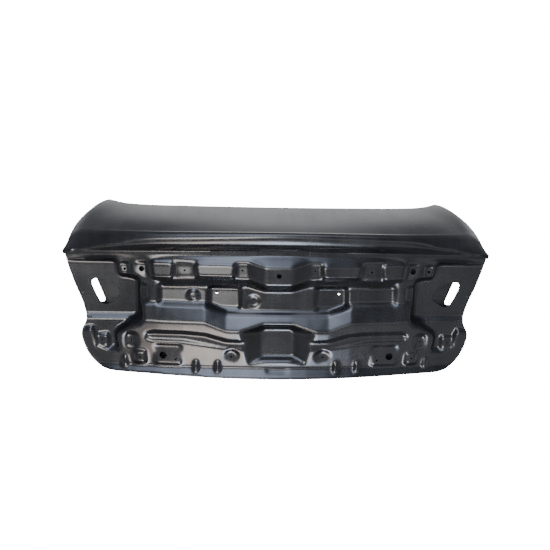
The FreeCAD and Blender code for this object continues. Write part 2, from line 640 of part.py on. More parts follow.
def inner_panel():
    """Inner sheet: hemmed rim, ribbed deck bays with the hinge seats, upright field with its cut-outs."""
    sheet = inner_die(0.0).cut(inner_die(INNER_T))
    sheet = sheet.common(plan_prism(SKIN_T + FOLD_GAP)).common(rear_prism(PANEL_T + FOLD_GAP))
    cutters = []
    for x in (HINGE_X, -HINGE_X):
        for y in (-HINGE_PITCH / 2.0, HINGE_PITCH / 2.0):
            cutters.append(Part.makeCylinder(M8_HOLE_R, 60.0, Vector(x, y, -30)))
    for points in BAY_CUTOUTS + (SIDE_CUTOUT,):
        cutter = prism(rounded_wire(list(points), CUTOUT_R, lambda p: plan_view(p, -20.0)), Vector(0, 0, 60))
        cutters.append(cutter)
        if points is SIDE_CUTOUT:
            cutters.append(mirrored(cutter))
    for points in FIELD_CUTOUTS:
        cutter = prism(rounded_wire(list(points), CUTOUT_R, lambda p: front_view(p, 0.0)), Vector(0, 200, 0))
        cutters += [cutter, mirrored(cutter)]
    return sheet.cut(cutters + lamp_cutters(LAMP_ACCESS) + latch_cutters())


def latch_cutters():
    """Cutters of the latch's two bolt holes and the window between them."""
    half_x, half_z = LATCH_WINDOW_HALF
    window = [(half_x, LATCH_Z - half_z), (half_x, LATCH_Z + half_z), (-half_x, LATCH_Z + half_z),
              (-half_x, LATCH_Z - half_z)]
    cutters = [prism(rounded_wire(window, 6.0, lambda p: front_view(p, LATCH_DEPTH + 5.0)), Vector(0, 100, 0))]
    for x in (-LATCH_PITCH / 2.0, LATCH_PITCH / 2.0):
        cutters.append(Part.makeCylinder(M6_HOLE_R, 100.0, front_view((x, LATCH_Z), LATCH_DEPTH + 5.0),
                                         Vector(0, 1, 0)))
    return cutters


def square_nut(size, thread_radius):
    """Square weld nut standing on the origin with its thread upwards."""
    width, height = size
    body = Part.makeBox(width, width, height, Vector(-width / 2.0, -width / 2.0, 0))
    upright = [edge for edge in body.Edges if abs(edge.Length - height) < 0.01]
    return body.makeChamfer(1.2, upright).cut(Part.makeCylinder(thread_radius, height))


def hinge_reinforcement():
    """Plate welded on the right hinge seat, with the holes of its two bolts."""
    half_x, half_y = HINGE_PATCH_HALF
    base = INNER_T + PATCH_GAP
    outline = [(HINGE_X + half_x, -half_y), (HINGE_X + half_x, half_y), (HINGE_X - half_x, half_y),
               (HINGE_X - half_x, -half_y)]
    plate = prism(rounded_wire(outline, 10.0, lambda p: Vector(p[0], p[1], base)), Vector(0, 0, PATCH_T))
    holes = [Part.makeCylinder(M8_HOLE_R, 20.0, Vector(HINGE_X, y, -5))
             for y in (-HINGE_PITCH / 2.0, HINGE_PITCH / 2.0)]
    return plate.cut(holes)


def hinge_weld_nuts():
    """The four nuts on the hinge plates."""
    base = INNER_T + PATCH_GAP + PATCH_T
    nuts = []
    for x in (-HINGE_X, HINGE_X):
        for y in (-HINGE_PITCH / 2.0, HINGE_PITCH / 2.0):
            nut = square_nut(M8_NUT, M8_THREAD_R)
            nut.translate(Vector(x, y, base))
            nuts.append(nut)
    return Part.Compound(nuts)


def latch_reinforcement():
    """Plate welded behind the upright field where the latch is bolted."""
    half_x, half_z = LATCH_PATCH_HALF
    depth = FIELD_DEPTH - PATCH_GAP - PATCH_T
    outline = [(half_x, LATCH_Z - half_z), (half_x, LATCH_Z + half_z), (-half_x, LATCH_Z + half_z),
               (-half_x, LATCH_Z - half_z)]
    plate = prism(rounded_wire(outline, 10.0, lambda p: front_view(p, depth)), Vector(0, PATCH_T, 0))
    return plate.cut(latch_cutters())


def latch_weld_nuts():
    """The latch's two nuts, behind its plate."""
    depth = FIELD_DEPTH - PATCH_GAP - PATCH_T
    nuts = []
    for x in (-LATCH_PITCH / 2.0, LATCH_PITCH / 2.0):
        nut = square_nut(M6_NUT, M6_THREAD_R)
        nut.rotate(Vector(0, 0, 0), Vector(1, 0, 0), 90)
        nut.translate(front_view((x, LATCH_Z), depth))
        nuts.append(nut)
    return Part.Compound(nuts)


def trim_weld_nuts():
    """Nuts in front of the trim and lamp seats that take a screw."""
    nuts = []
    for seat in TRIM_SEATS[:2] + LOWER_SEATS[1:]:
        x, height, depth = seat[0], (seat[3] + seat[4]) / 2.0, seat[5]
        nut = square_nut(M6_NUT, M6_THREAD_R)
        nut.rotate(Vector(0, 0, 0), Vector(1, 0, 0), -90)
        nut.rotate(Vector(0, 0, 0), Vector(0, 0, 1), math.degrees(math.asin(x / PANEL_BOW_RADIUS)))
        nut.translate(front_view((x, height), bow(x) + depth + PANEL_T))
        nuts += [nut, mirrored(nut)]
    return Part.Compound(nuts)


def mastic_drops():
    """Drops of anti-flutter mastic between the inner panel's ribs and the deck."""
    under_skin = skin_die(SKIN_T + MASTIC_GAP)
    over_ribs = rib_plane_tool(0.0)
    drops = []
    for depth in MASTIC_DEPTHS:
        for x in (-MASTIC_X, MASTIC_X):
            drop = Part.makeCylinder(MASTIC_R, 60.0, plan_view((x, depth), -10.0))
            drops.append(drop.common(over_ribs).common(under_skin))
    return Part.Compound(drops)


NODES = {
    "skin": skin,
    "back_panel": back_panel,
    "inner_panel": inner_panel,
    "hinge_reinforcement_right": hinge_reinforcement,
    "hinge_reinforcement_left": lambda: mirrored(hinge_reinforcement()),
    "hinge_weld_nuts": hinge_weld_nuts,
    "latch_reinforcement": latch_reinforcement,
    "latch_weld_nuts": latch_weld_nuts,
    "trim_weld_nuts": trim_weld_nuts,
    "mastic_drops": mastic_drops,
}

os.makedirs("parts", exist_ok=True)
for name, build in NODES.items():
    build().exportStep("parts/%s.step" % name)
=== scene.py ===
"""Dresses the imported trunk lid: smooth stamped sheets, black electrocoated steel, studio and camera."""

import logging
import math
from dataclasses import dataclass
from enum import Enum
from typing import Callable

import bpy
import numpy as np
from mathutils import Matrix, Vector


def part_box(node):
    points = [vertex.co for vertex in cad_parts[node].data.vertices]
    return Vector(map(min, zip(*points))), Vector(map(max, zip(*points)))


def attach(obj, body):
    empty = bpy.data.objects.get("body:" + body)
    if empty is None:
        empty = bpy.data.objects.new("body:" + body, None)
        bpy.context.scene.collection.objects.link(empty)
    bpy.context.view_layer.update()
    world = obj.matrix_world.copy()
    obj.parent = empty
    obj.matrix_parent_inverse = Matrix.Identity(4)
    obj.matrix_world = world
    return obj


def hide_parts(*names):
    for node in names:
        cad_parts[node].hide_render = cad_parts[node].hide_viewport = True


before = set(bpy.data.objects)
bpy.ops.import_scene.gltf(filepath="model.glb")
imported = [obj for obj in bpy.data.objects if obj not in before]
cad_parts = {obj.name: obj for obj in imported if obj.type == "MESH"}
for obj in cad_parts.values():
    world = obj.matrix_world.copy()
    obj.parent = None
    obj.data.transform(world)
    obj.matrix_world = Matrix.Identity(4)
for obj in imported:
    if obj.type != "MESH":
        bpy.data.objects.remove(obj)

logging.basicConfig(level=logging.INFO, format="%(message)s")
log = logging.getLogger("trunk_lid")

MM = 0.001
IMAGE_SIDE_PX = 550
LIP_Y = -0.300  # the lip's rear edge at the middle, in the part's frame
TIP_X_MM = 690.0
TIP_X = TIP_X_MM * MM
SHEET_THICKNESS = 0.0008
HELD_SHEET_THICKNESS = 0.0007  # the inner panel's edge, which the hems hold
FOLD_GAP = 0.00015
HEM_WIDTH = 0.012
SMOOTH_ANGLE = math.radians(50)  # faces that meet at less are shaded as one
PUNCH_REAR_Y = -0.40  # the cutters' ends, behind and in front of the whole back panel
PUNCH_FRONT_Y = -0.10
FAR = 1.0  # past every edge of the lid
FINE_STEPS = 12  # readings of a curve's length for each of its samples


def linear(hex_colour: str, alpha: float = 1.0) -> tuple:
    """Turns an sRGB hex colour into linear values.

    Args:
        hex_colour: Six hex digits after a hash.
        alpha: The fourth value.

    Returns:
        Red, green, blue and alpha.
    """
    parts = [int(hex_colour[i:i + 2], 16) / 255 for i in (1, 3, 5)]
    return tuple(c / 12.92 if c <= 0.04045 else ((c + 0.055) / 1.055) ** 2.4 for c in parts) + (alpha,)


def add_node(tree: bpy.types.NodeTree, kind: str, links: dict | None = None,
             **settings: object) -> bpy.types.Node:
    """Adds a node with its settings and links.

    Args:
        tree: The material's node tree.
        kind: The node's type.
        links: Input name to the socket that feeds it, or to a plain value.
        settings: The node's own properties.

    Returns:
        The new node.
    """
    made = tree.nodes.new(kind)
    for name, value in settings.items():
        setattr(made, name, value)
    for name, source in (links or {}).items():
        if isinstance(source, bpy.types.NodeSocket):
            tree.links.new(source, made.inputs[name])
        else:
            made.inputs[name].default_value = source
    return made


@dataclass(frozen=True)
class Finish:
    """A coated surface: its colour, the dust on it, its gloss and the faint waves of what lies under it.

    Dust lies in long streaks, streak_mm apart along x, y and z, broken by blotches. Between the two noise
    limits it goes from none to its full share, and it dulls the coat from the first to the last of dulling.
    """

    name: str
    colour: str
    dust_colour: str
    roughness: float
    dust: float = 0.3
    streak_mm: tuple = (70.0, 900.0, 900.0)
    specular: float = 0.5
    metallic: float = 0.0
    wave_mm: float = 60.0
    wave_height_mm: float = 0.12
    blotches_per_metre: float = 9.0
    noise_limits: tuple = (0.15, 0.42)
    dulling: tuple = (0.9, 1.3)

    def material(self) -> bpy.types.Material:
        """Builds the material: a thin even coat, dusty streaks that dull it, and the sheet's faint waves.

        Returns:
            The material.
        """
        mat = bpy.data.materials.new(self.name)
        mat.use_nodes = True
        tree = mat.node_tree
        shader = tree.nodes["Principled BSDF"]
        shader.inputs["Specular IOR Level"].default_value = self.specular
        shader.inputs["Metallic"].default_value = self.metallic
        place = add_node(tree, "ShaderNodeTexCoord")
        stretched = add_node(tree, "ShaderNodeMapping", {"Vector": place.outputs["Object"],
                                                         "Scale": [1000.0 / size for size in self.streak_mm]})
        streak = add_node(tree, "ShaderNodeTexNoise", {"Vector": stretched.outputs[0], "Scale": 1.0,
                                                       "Detail": 5.0, "Roughness": 0.6})
        blotch = add_node(tree, "ShaderNodeTexNoise", {"Vector": place.outputs["Object"],
                                                       "Scale": self.blotches_per_metre,
                                                       "Detail": 6.0, "Roughness": 0.65})
        both = add_node(tree, "ShaderNodeMath", {0: streak.outputs["Fac"], 1: blotch.outputs["Fac"]},
                        operation="MULTIPLY")
        clean, dusty = self.noise_limits
        share = add_node(tree, "ShaderNodeMapRange", {"Value": both.outputs[0], "From Min": clean,
                                                      "From Max": dusty, "To Min": 0.0,
                                                      "To Max": self.dust})
        colour = add_node(tree, "ShaderNodeMix", {"Factor": share.outputs[0]}, data_type="RGBA")
        colour.inputs[6].default_value = linear(self.colour)
        colour.inputs[7].default_value = linear(self.dust_colour)
        rough = add_node(tree, "ShaderNodeMapRange", {"Value": both.outputs[0], "From Min": clean,
                                                      "From Max": dusty,
                                                      "To Min": self.roughness * self.dulling[0],
                                                      "To Max": self.roughness * self.dulling[1]})
        tree.links.new(colour.outputs[2], shader.inputs["Base Color"])
        tree.links.new(rough.outputs[0], shader.inputs["Roughness"])
        wave = add_node(tree, "ShaderNodeTexNoise", {"Vector": place.outputs["Object"],
                                                     "Scale": 1000.0 / self.wave_mm, "Detail": 1.0})
        bump = add_node(tree, "ShaderNodeBump", {"Height": wave.outputs["Fac"],
                                                 "Distance": self.wave_height_mm * MM, "Strength": 1.0})
        tree.links.new(bump.outputs[0], shader.inputs["Normal"])
        return mat


class Join(Enum):
    """Ways to combine two closed bodies."""

    OVERLAP = "INTERSECT"
    CUT = "DIFFERENCE"
    FUSE = "UNION"


def select_only(obj: bpy.types.Object) -> None:
    """Selects one object and makes it the active one.

    Args:
        obj: The object.
    """
    bpy.ops.object.select_all(action="DESELECT")
    obj.select_set(True)
    bpy.context.view_layer.objects.active = obj


def apply_modifier(obj: bpy.types.Object, kind: str, **settings: object) -> None:
    """Adds a modifier with its settings and applies it.

    Args:
        obj: The piece.
        kind: The modifier's type.
        settings: The modifier's properties.
    """
    select_only(obj)
    modifier = obj.modifiers.new(kind.title(), kind)
    for name, value in settings.items():
        setattr(modifier, name, value)
    bpy.ops.object.modifier_apply(modifier=modifier.name)


def grid_object(name: str, points: np.ndarray) -> bpy.types.Object:
    """Makes a sheet of quads over a grid of points.

    Args:
        name: The piece's name.
        points: Rows of columns of x, y, z.

    Returns:
        The new object.
    """
    rows, columns, _ = points.shape
    index = np.arange(rows * columns).reshape(rows, columns)
    quads = np.stack([index[:-1, :-1], index[:-1, 1:], index[1:, 1:], index[1:, :-1]], -1).reshape(-1, 4)
    mesh = bpy.data.meshes.new(name)
    mesh.from_pydata(points.reshape(-1, 3).tolist(), [], quads.tolist())
    obj = bpy.data.objects.new(name, mesh)
    bpy.context.collection.objects.link(obj)
    return obj


def smooth_line(points: list, count: int) -> np.ndarray:
    """Samples a smooth curve through points, evenly along its length.

    Args:
        points: The curve's points.
        count: How many samples.

    Returns:
        The samples, one row each.
    """
    pts = np.asarray(points, float)
    steps = np.concatenate([[0], np.cumsum(np.linalg.norm(np.diff(pts, axis=0), axis=1) ** 0.5)])
    fine = np.linspace(0, steps[-1], count * FINE_STEPS)
    curve = np.stack([natural_spline(steps, pts[:, k], fine) for k in range(pts.shape[1])], -1)
    length = np.concatenate([[0], np.cumsum(np.linalg.norm(np.diff(curve, axis=0), axis=1))])
    even = np.linspace(0, length[-1], count)
    return np.stack([np.interp(even, length, curve[:, k]) for k in range(pts.shape[1])], -1)


def natural_spline(knots: np.ndarray, values: np.ndarray, at: np.ndarray) -> np.ndarray:
    """Cubic spline through values, straight at its ends.

    Args:
        knots: Rising places of the values.
        values: The values.
        at: Where to read the spline.

    Returns:
        The spline's values.
    """
    n = len(knots)
    h = np.diff(knots)
    matrix = np.eye(n)
    right = np.zeros(n)
    for i in range(1, n - 1):
        matrix[i, i - 1:i + 2] = h[i - 1], 2 * (h[i - 1] + h[i]), h[i]
        right[i] = 6 * ((values[i + 1] - values[i]) / h[i] - (values[i] - values[i - 1]) / h[i - 1])
    bend = np.linalg.solve(matrix, right)
    i = np.clip(np.searchsorted(knots, at) - 1, 0, n - 2)
    a = (knots[i + 1] - at) / h[i]
    b = (at - knots[i]) / h[i]
    return (a * values[i] + b * values[i + 1]
            + ((a ** 3 - a) * bend[i] + (b ** 3 - b) * bend[i + 1]) * h[i] ** 2 / 6)


@dataclass
class PhotoCamera:
    """The photograph's camera: its place, its turn, and its focal length in pixels of the frame."""

    place: tuple = (-0.15829, -2.90290, 0.44468)
    yaw: float = 0.0553
    pitch: float = 0.21661
    roll: float = 0.02368
    focal_px: float = 849.944

    def build(self) -> None:
        """Adds the camera and makes it the scene's."""
        level = math.cos(self.pitch)
        forward = Vector((math.sin(self.yaw) * level, math.cos(self.yaw) * level, -math.sin(self.pitch)))
        right = Vector((math.cos(self.yaw), -math.sin(self.yaw), 0))
        up = right.cross(forward)
        right, up = (right * math.cos(self.roll) + up * math.sin(self.roll),
                     up * math.cos(self.roll) - right * math.sin(self.roll))
        data = bpy.data.cameras.new("camera")
        data.sensor_width = 36
        data.sensor_fit = "HORIZONTAL"
        data.lens = self.focal_px * data.sensor_width / IMAGE_SIDE_PX
        data.clip_end = 50
        camera = bpy.data.objects.new("camera", data)
        bpy.context.collection.objects.link(camera)
        turn = Matrix((right, up, -forward)).transposed().to_4x4()
        camera.matrix_world = Matrix.Translation(self.place) @ turn
        bpy.context.scene.camera = camera


@dataclass(frozen=True)
class SkyPatch:
    """A soft light patch of the surroundings.

    Its middle and half sizes are in degrees: azimuth from straight behind the car, positive to the car's
    right hand side of the picture, and elevation over the horizon.
    """

    name: str
    azimuth: float
    elevation: float
    width: float
    height: float
    strength: float
    colour: str = "#ffffff"


@dataclass
class Studio:
    """Pale floor, white backdrop and the soft light patches round the lid."""

    floor_z: float = -0.95
    floor_size: float = 60.0
    floor_colour: str = "#f4f4f4"
    floor_roughness: float = 0.9
    backdrop: float = 20.0
    ambient: float = 0.42
    ambient_colour: str = "#c8ccd2"
    patches: tuple = (
        SkyPatch("low_window", -11, 4, 12, 8, 22.0, "#f6f4f0"),
        SkyPatch("lit_floor", 5, -42, 8, 12, 34.0, "#dfeaff"),
        SkyPatch("tall_window", -3, 40, 12, 16, 11.0, "#d8e5ff"),
        SkyPatch("side_window", -21, 42, 9, 10, 7.0, "#d8e5ff"),
        SkyPatch("sky_behind", -6, 66, 26, 12, 7.0, "#d5e2ff"),
        SkyPatch("roof_light", 0, 88, 400, 14, 4.0, "#f0f4ff"),
        SkyPatch("far_wall", 180, 13, 75, 13, 0.95, "#f2f2f2"),
        SkyPatch("front_of_hall", 180, -20, 100, 30, 1.3, "#f2f2f2"),
        SkyPatch("warm_ground", -12, -34, 10, 8, 22.0, "#efe2d8"),
        SkyPatch("ground", 0, -28, 60, 14, 1.0, "#e6e6ea"),
        SkyPatch("horizon", 10, 4, 50, 6, 1.6, "#eef2ff"),
        SkyPatch("right_wall", 22, -12, 14, 8, 0.4, "#e8ecf4"),
    )

    def build(self) -> None:
        """Adds the floor and the surroundings."""
        bpy.ops.mesh.primitive_plane_add(size=self.floor_size, location=(0, 0, self.floor_z))
        floor = bpy.context.object
        floor.name = "floor"
        mat = bpy.data.materials.new("pale_floor")
        mat.use_nodes = True
        shader = mat.node_tree.nodes["Principled BSDF"]
        shader.inputs["Base Color"].default_value = linear(self.floor_colour)
        shader.inputs["Roughness"].default_value = self.floor_roughness
        shader.inputs["Emission Color"].default_value = (1, 1, 1, 1)
        shader.inputs["Emission Strength"].default_value = self.backdrop
        floor.data.materials.append(mat)
        floor.visible_glossy = False
        floor.visible_diffuse = False
        self.surroundings()

    def surroundings(self) -> None:
        """Builds the world: white to the camera, light patches on a dim ground to everything else."""
        world = bpy.data.worlds.new("studio")
        bpy.context.scene.world = world
        world.use_nodes = True
        tree = world.node_tree
        tree.nodes.clear()
        place = add_node(tree, "ShaderNodeTexCoord")
        axes = add_node(tree, "ShaderNodeSeparateXYZ", {"Vector": place.outputs["Generated"]})
        rear = add_node(tree, "ShaderNodeMath", {0: axes.outputs["Y"], 1: -1.0}, operation="MULTIPLY")
        azimuth = add_node(tree, "ShaderNodeMath", {0: axes.outputs["X"], 1: rear.outputs[0]},
                           operation="ARCTAN2")
        elevation = add_node(tree, "ShaderNodeMath", {0: axes.outputs["Z"]}, operation="ARCSINE")
        total = add_node(tree, "ShaderNodeBackground", {"Color": linear(self.ambient_colour),
                                                        "Strength": self.ambient})
        for patch in self.patches:
            glow = add_node(tree, "ShaderNodeBackground", {"Color": linear(patch.colour)})
            tree.links.new(self.falloff(tree, patch, azimuth, elevation).outputs[0], glow.inputs["Strength"])
            total = add_node(tree, "ShaderNodeAddShader", {0: total.outputs[0], 1: glow.outputs[0]})
        bright = add_node(tree, "ShaderNodeBackground", {"Color": (1, 1, 1, 1), "Strength": self.backdrop})
        path = add_node(tree, "ShaderNodeLightPath")
        mix = add_node(tree, "ShaderNodeMixShader", {0: path.outputs["Is Camera Ray"], 1: total.outputs[0],
                                                     2: bright.outputs[0]})
        add_node(tree, "ShaderNodeOutputWorld", {"Surface": mix.outputs[0]})

    def falloff(self, tree: bpy.types.NodeTree, patch: SkyPatch, azimuth: bpy.types.Node,
                elevation: bpy.types.Node) -> bpy.types.Node:
        """Nodes that give a patch's strength in a direction.

        Args:
            tree: The world's nodes.
            patch: The patch.
            azimuth: Node of the direction's azimuth.
            elevation: Node of its height over the horizon.

        Returns:
            The node of the strength.
        """
        squares = []
        for source, middle, half in ((azimuth, patch.azimuth, patch.width),
                                     (elevation, patch.elevation, patch.height)):
            off = add_node(tree, "ShaderNodeMath", {0: source.outputs[0], 1: math.radians(middle)},
                           operation="SUBTRACT")
            if source is azimuth:
                off = add_node(tree, "ShaderNodeMath", {0: off.outputs[0], 1: math.pi, 2: -math.pi},
                               operation="WRAP")
            share = add_node(tree, "ShaderNodeMath", {0: off.outputs[0], 1: math.radians(half)},
                             operation="DIVIDE")
            squares.append(add_node(tree, "ShaderNodeMath", {0: share.outputs[0], 1: share.outputs[0]},
                                    operation="MULTIPLY"))
        total = add_node(tree, "ShaderNodeMath", {0: squares[0].outputs[0], 1: squares[1].outputs[0]},
                         operation="ADD")
        steep = add_node(tree, "ShaderNodeMath", {0: total.outputs[0], 1: total.outputs[0]},
                         operation="MULTIPLY")
        fade = add_node(tree, "ShaderNodeMath", {0: steep.outputs[0], 1: -1.0}, operation="MULTIPLY")
        bell = add_node(tree, "ShaderNodeMath", {0: fade.outputs[0]}, operation="EXPONENT")
        return add_node(tree, "ShaderNodeMath", {0: bell.outputs[0], 1: patch.strength}, operation="MULTIPLY")


def sheet_normals(points: np.ndarray) -> np.ndarray:
    """Unit normals of a grid of points, on the side that its quads face.

    Args:
        points: Rows of columns of x, y, z.

    Returns:
        The normals, laid out as the points.
    """
    across = np.gradient(points, axis=1)
    up = np.gradient(points, axis=0)
    normal = np.cross(across, up)
    return normal / np.linalg.norm(normal, axis=-1, keepdims=True)


def sheet_slab(name: str, points: np.ndarray, start: float, thickness: float) -> bpy.types.Object:
    """Makes a closed slab under a grid of points.

    Args:
        name: The slab's name.
        points: The outer face, as rows of columns of x, y, z.
        start: How deep under the outer face the slab starts.
        thickness: Its thickness.

    Returns:
        The slab.
    """
    slab = grid_object(name, points - sheet_normals(points) * start)
    apply_modifier(slab, "SOLIDIFY", thickness=thickness, offset=-1)
    return slab


def combine(first: bpy.types.Object, second: bpy.types.Object, way: Join) -> bpy.types.Object:
    """Combines two closed bodies and removes the second.

    Args:
        first: The body that is kept.
        second: The body that is used up.
        way: What is done with them.

    Returns:
        The first body.
    """
    apply_modifier(first, "BOOLEAN", object=second, operation=way.value, solver="MANIFOLD")
    bpy.data.objects.remove(second)
    return first


def hemmed(name: str, points: np.ndarray, trim: Callable, strip: Callable) -> bpy.types.Object:
    """Makes a trimmed sheet whose edge is folded back over another sheet.

    Args:
        name: The piece's name.
        points: The outer face, as rows of columns of x, y, z.
        trim: Gives the solid inside the outline, moved in by a distance.
        strip: Gives the solid in which the folded edge lies.

    Returns:
        The finished sheet.
    """
    thick = SHEET_THICKNESS
    fold_start = thick + HELD_SHEET_THICKNESS + 2 * FOLD_GAP
    sheet = combine(sheet_slab(name, points, 0.0, thick), trim(0.0), Join.OVERLAP)
    edge = combine(sheet_slab("edge", points, thick / 2, fold_start), trim(0.0), Join.OVERLAP)
    edge = combine(combine(edge, trim(thick), Join.CUT), strip(), Join.OVERLAP)
    fold = combine(sheet_slab("fold", points, fold_start, thick), trim(0.0), Join.OVERLAP)
    fold = combine(combine(fold, trim(HEM_WIDTH), Join.CUT), strip(), Join.OVERLAP)
    return combine(combine(sheet, fold, Join.FUSE), edge, Join.FUSE)


def plan_solid(outline: list, low: float, high: float) -> bpy.types.Object:
    """Makes a closed upright prism from a plan outline.

    Args:
        outline: Points as x and y.
        low: Its lower end.
        high: Its upper end.

    Returns:
        The prism.
    """
    prism = upright_prism("plan", outline, low, high)
    turned = np.array([vertex.co for vertex in prism.data.vertices])[:, [0, 2, 1]]
    prism.data.vertices.foreach_set("co", turned.ravel())
    prism.data.flip_normals()
    return prism


def moved_in(points: list, distance: float) -> list:
    """Moves a closed outline in by a distance, with mitred corners.

    Args:
        points: The outline, anticlockwise.
        distance: How far.

    Returns:
        The smaller outline.
    """
    pts = np.asarray(points, float)
    run = np.roll(pts, -1, axis=0) - pts
    run /= np.linalg.norm(run, axis=1, keepdims=True)
    normal = np.stack([-run[:, 1], run[:, 0]], -1)
    before = np.roll(normal, 1, axis=0)
    share = distance / (1 + (normal * before).sum(axis=1, keepdims=True))
    return [tuple(p) for p in pts + (normal + before) * share]


@dataclass
class Skin:
    """Upper outer sheet: deck, lip and band as smooth sections across the car, hemmed at its edges.

    A section holds its half width, its deck, its lip and its band as (distance forward of the lip, height),
    in millimetres.
    """

    columns: int = 300
    sections: tuple = (
        (0, ((410, 41), (353, 36), (265, 28.5), (176, 20.5), (88, 11.5), (20, 2.6)),
         ((6, 0.4), (0, -4.5)),
         ((-1, -12), (0, -24), (4, -36), (11, -46))),
        (150, ((410, 41), (354, 36.3), (265, 28.6), (176, 20.2), (92, 10.7), (26, 1.3)),
         ((12, -1), (5.5, -6)),
         ((3.8, -13.5), (4.2, -25.5), (8, -37.5), (15, -47))),
        (300, ((415, 41.5), (355, 37), (265, 29), (176, 19.5), (104, 9.4), (41, -1.8)),
         ((26, -4.8), (18.5, -10)),
         ((16, -18), (16, -30), (19, -41), (26, -50))),
        (440, ((430, 43.5), (365, 38.5), (275, 30), (190, 19.5), (122, 8), (64, -5)),
         ((50, -9), (41, -15)),
         ((37.5, -23), (36, -35), (37.5, -45), (42, -53))),
        (540, ((460, 47.5), (396, 43), (295, 31), (210, 17.5), (150, 5), (97, -8.5)),
         ((83, -13), (72, -20)),
         ((65, -29), (59, -40), (56, -49), (57, -57))),
        (610, ((470, 48), (405, 43), (310, 29), (235, 13.5), (182, 0.5), (135, -12.5)),
         ((122, -17), (108, -24)),
         ((96, -34), (83, -45), (75, -54), (70, -62))),
        (650, ((470, 41), (405, 35), (310, 20.5), (240, 5), (198, -6.5), (163, -18.5)),
         ((152, -23), (139, -30)),
         ((124, -40), (104, -52), (89, -61), (78, -69))),
        (690, ((470, 19), (405, 12.5), (310, -3.5), (240, -19), (200, -31), (169, -42.5)),
         ((158, -47), (146, -52)),
         ((131, -58.5), (110, -65.5), (93, -70.5), (77, -74.5))),
        (712, ((470, 6), (405, -1.5), (310, -18), (240, -33), (202, -44), (173, -55)),
         ((163, -59), (151, -63)),
         ((136, -67), (114, -72.5), (96, -76), (80, -78.5))),
    )
    front: tuple = ((0, 353), (150, 354), (300, 356), (440, 362), (510, 374), (552, 398), (583, 430))
    side: tuple = ((583, 430), (604, 402), (638, 300), (668, 215), (681, 132), (690, 76))
    seam_depth_mm: tuple = (30.0, 55.0)
    seam_high_mm: tuple = (-60.0, -79.0)
    seam_low_mm: tuple = (-74.0, -86.0)
    deck_rows: int = 70
    lip_rows: int = 14
    band_rows: int = 30
    flange_rows: int = 5
    side_samples: int = 40
    front_samples: int = 90
    tip_depth_mm: float = -60.0
    hem_rear_mm: float = 86.0
    solid_reach: float = 0.3

    def along_seam(self, ends: tuple, x: float) -> float:
        """Height of a line along the seam from its heights at the middle and at the tips."""
        return ends[0] + (ends[1] - ends[0]) * (x / TIP_X_MM) ** 2

    def profile(self, section: tuple) -> np.ndarray:
        """Draws one section, from the deck's front to the flange's foot.

        Args:
            section: Its half width, deck, lip and band.

        Returns:
            Evenly spread points of depth and height.
        """
        half_width, deck, lip, band = section
        seam = self.seam_depth_mm[0] + self.seam_depth_mm[1] * (half_width / TIP_X_MM) ** 2
        top = self.along_seam(self.seam_high_mm, half_width)
        foot = self.along_seam(self.seam_low_mm, half_width)
        rows = [smooth_line(deck, self.deck_rows)]
        rows.append(three_point_arc(deck[-1], lip[0], lip[1], self.lip_rows)[1:])
        rows.append(smooth_line((lip[1],) + tuple(band), self.band_rows)[1:])
        rows.append(np.linspace(band[-1], (seam, top), self.flange_rows)[1:])
        rows.append(np.linspace((seam, top), (seam, foot), self.flange_rows)[1:])
        return np.vstack(rows)

    def outline(self) -> list:
        """Draws the plan outline.

        Returns:
            Its points, anticlockwise from above.
        """
        side = [tuple(p) for p in smooth_line(self.side[::-1], self.side_samples)]
        whole_front = self.front[::-1] + tuple((-x, y) for x, y in self.front[1:])
        front = [tuple(p) for p in smooth_line(whole_front, self.front_samples)]
        left = [(-x, y) for x, y in reversed(side)]
        ring = [(TIP_X_MM, self.tip_depth_mm)] + side + front[1:-1] + left + [(-TIP_X_MM, self.tip_depth_mm)]
        return [(x * MM, y * MM + LIP_Y) for x, y in ring]

    def trim(self, inset: float) -> bpy.types.Object:
        """Solid inside the plan outline, moved in by a distance at its front and sides."""
        return plan_solid(moved_in(self.outline(), inset), -self.solid_reach, self.solid_reach)

    def strip(self) -> bpy.types.Object:
        """Solid in which the folded edge lies, in front of the lip's tips and above the seam."""
        rear = LIP_Y + self.hem_rear_mm * MM
        ring = [(FAR, rear), (FAR, FAR), (-FAR, FAR), (-FAR, rear)]
        return plan_solid(ring, -self.solid_reach, self.solid_reach)

    def build(self) -> bpy.types.Object:
        """Makes the sheet.

        Returns:
            The finished sheet.
        """
        halves = [section for section in self.sections if section[0] > 0]
        stations = [(-s[0], s) for s in reversed(halves)] + [(s[0], s) for s in self.sections]
        profiles = np.stack([self.profile(section) for _, section in stations])
        knots = np.array([x for x, _ in stations], float)
        x = np.linspace(knots[0], knots[-1], self.columns)
        rows = profiles.shape[1]
        depth = np.stack([natural_spline(knots, profiles[:, k, 0], x) for k in range(rows)])
        height = np.stack([natural_spline(knots, profiles[:, k, 1], x) for k in range(rows)])
        points = np.stack([np.broadcast_to(x, depth.shape) * MM, depth * MM + LIP_Y, height * MM], -1)[::-1]
        piece = hemmed("pressed_skin", points, self.trim, self.strip)
        keep_in_box(piece, "skin")
        select_only(piece)
        bpy.ops.object.shade_smooth_by_angle(angle=SMOOTH_ANGLE)
        return piece


def keep_in_box(piece: bpy.types.Object, node: str) -> None:
    """Holds a piece's points inside its node's box.

    Args:
        piece: The piece.
        node: The node that it stands for.
    """
    low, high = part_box(node)
    place = np.zeros(len(piece.data.vertices) * 3)
    piece.data.vertices.foreach_get("co", place)
    place = np.clip(place.reshape(-1, 3), np.array(low), np.array(high))
    piece.data.vertices.foreach_set("co", place.ravel())
    piece.data.update()


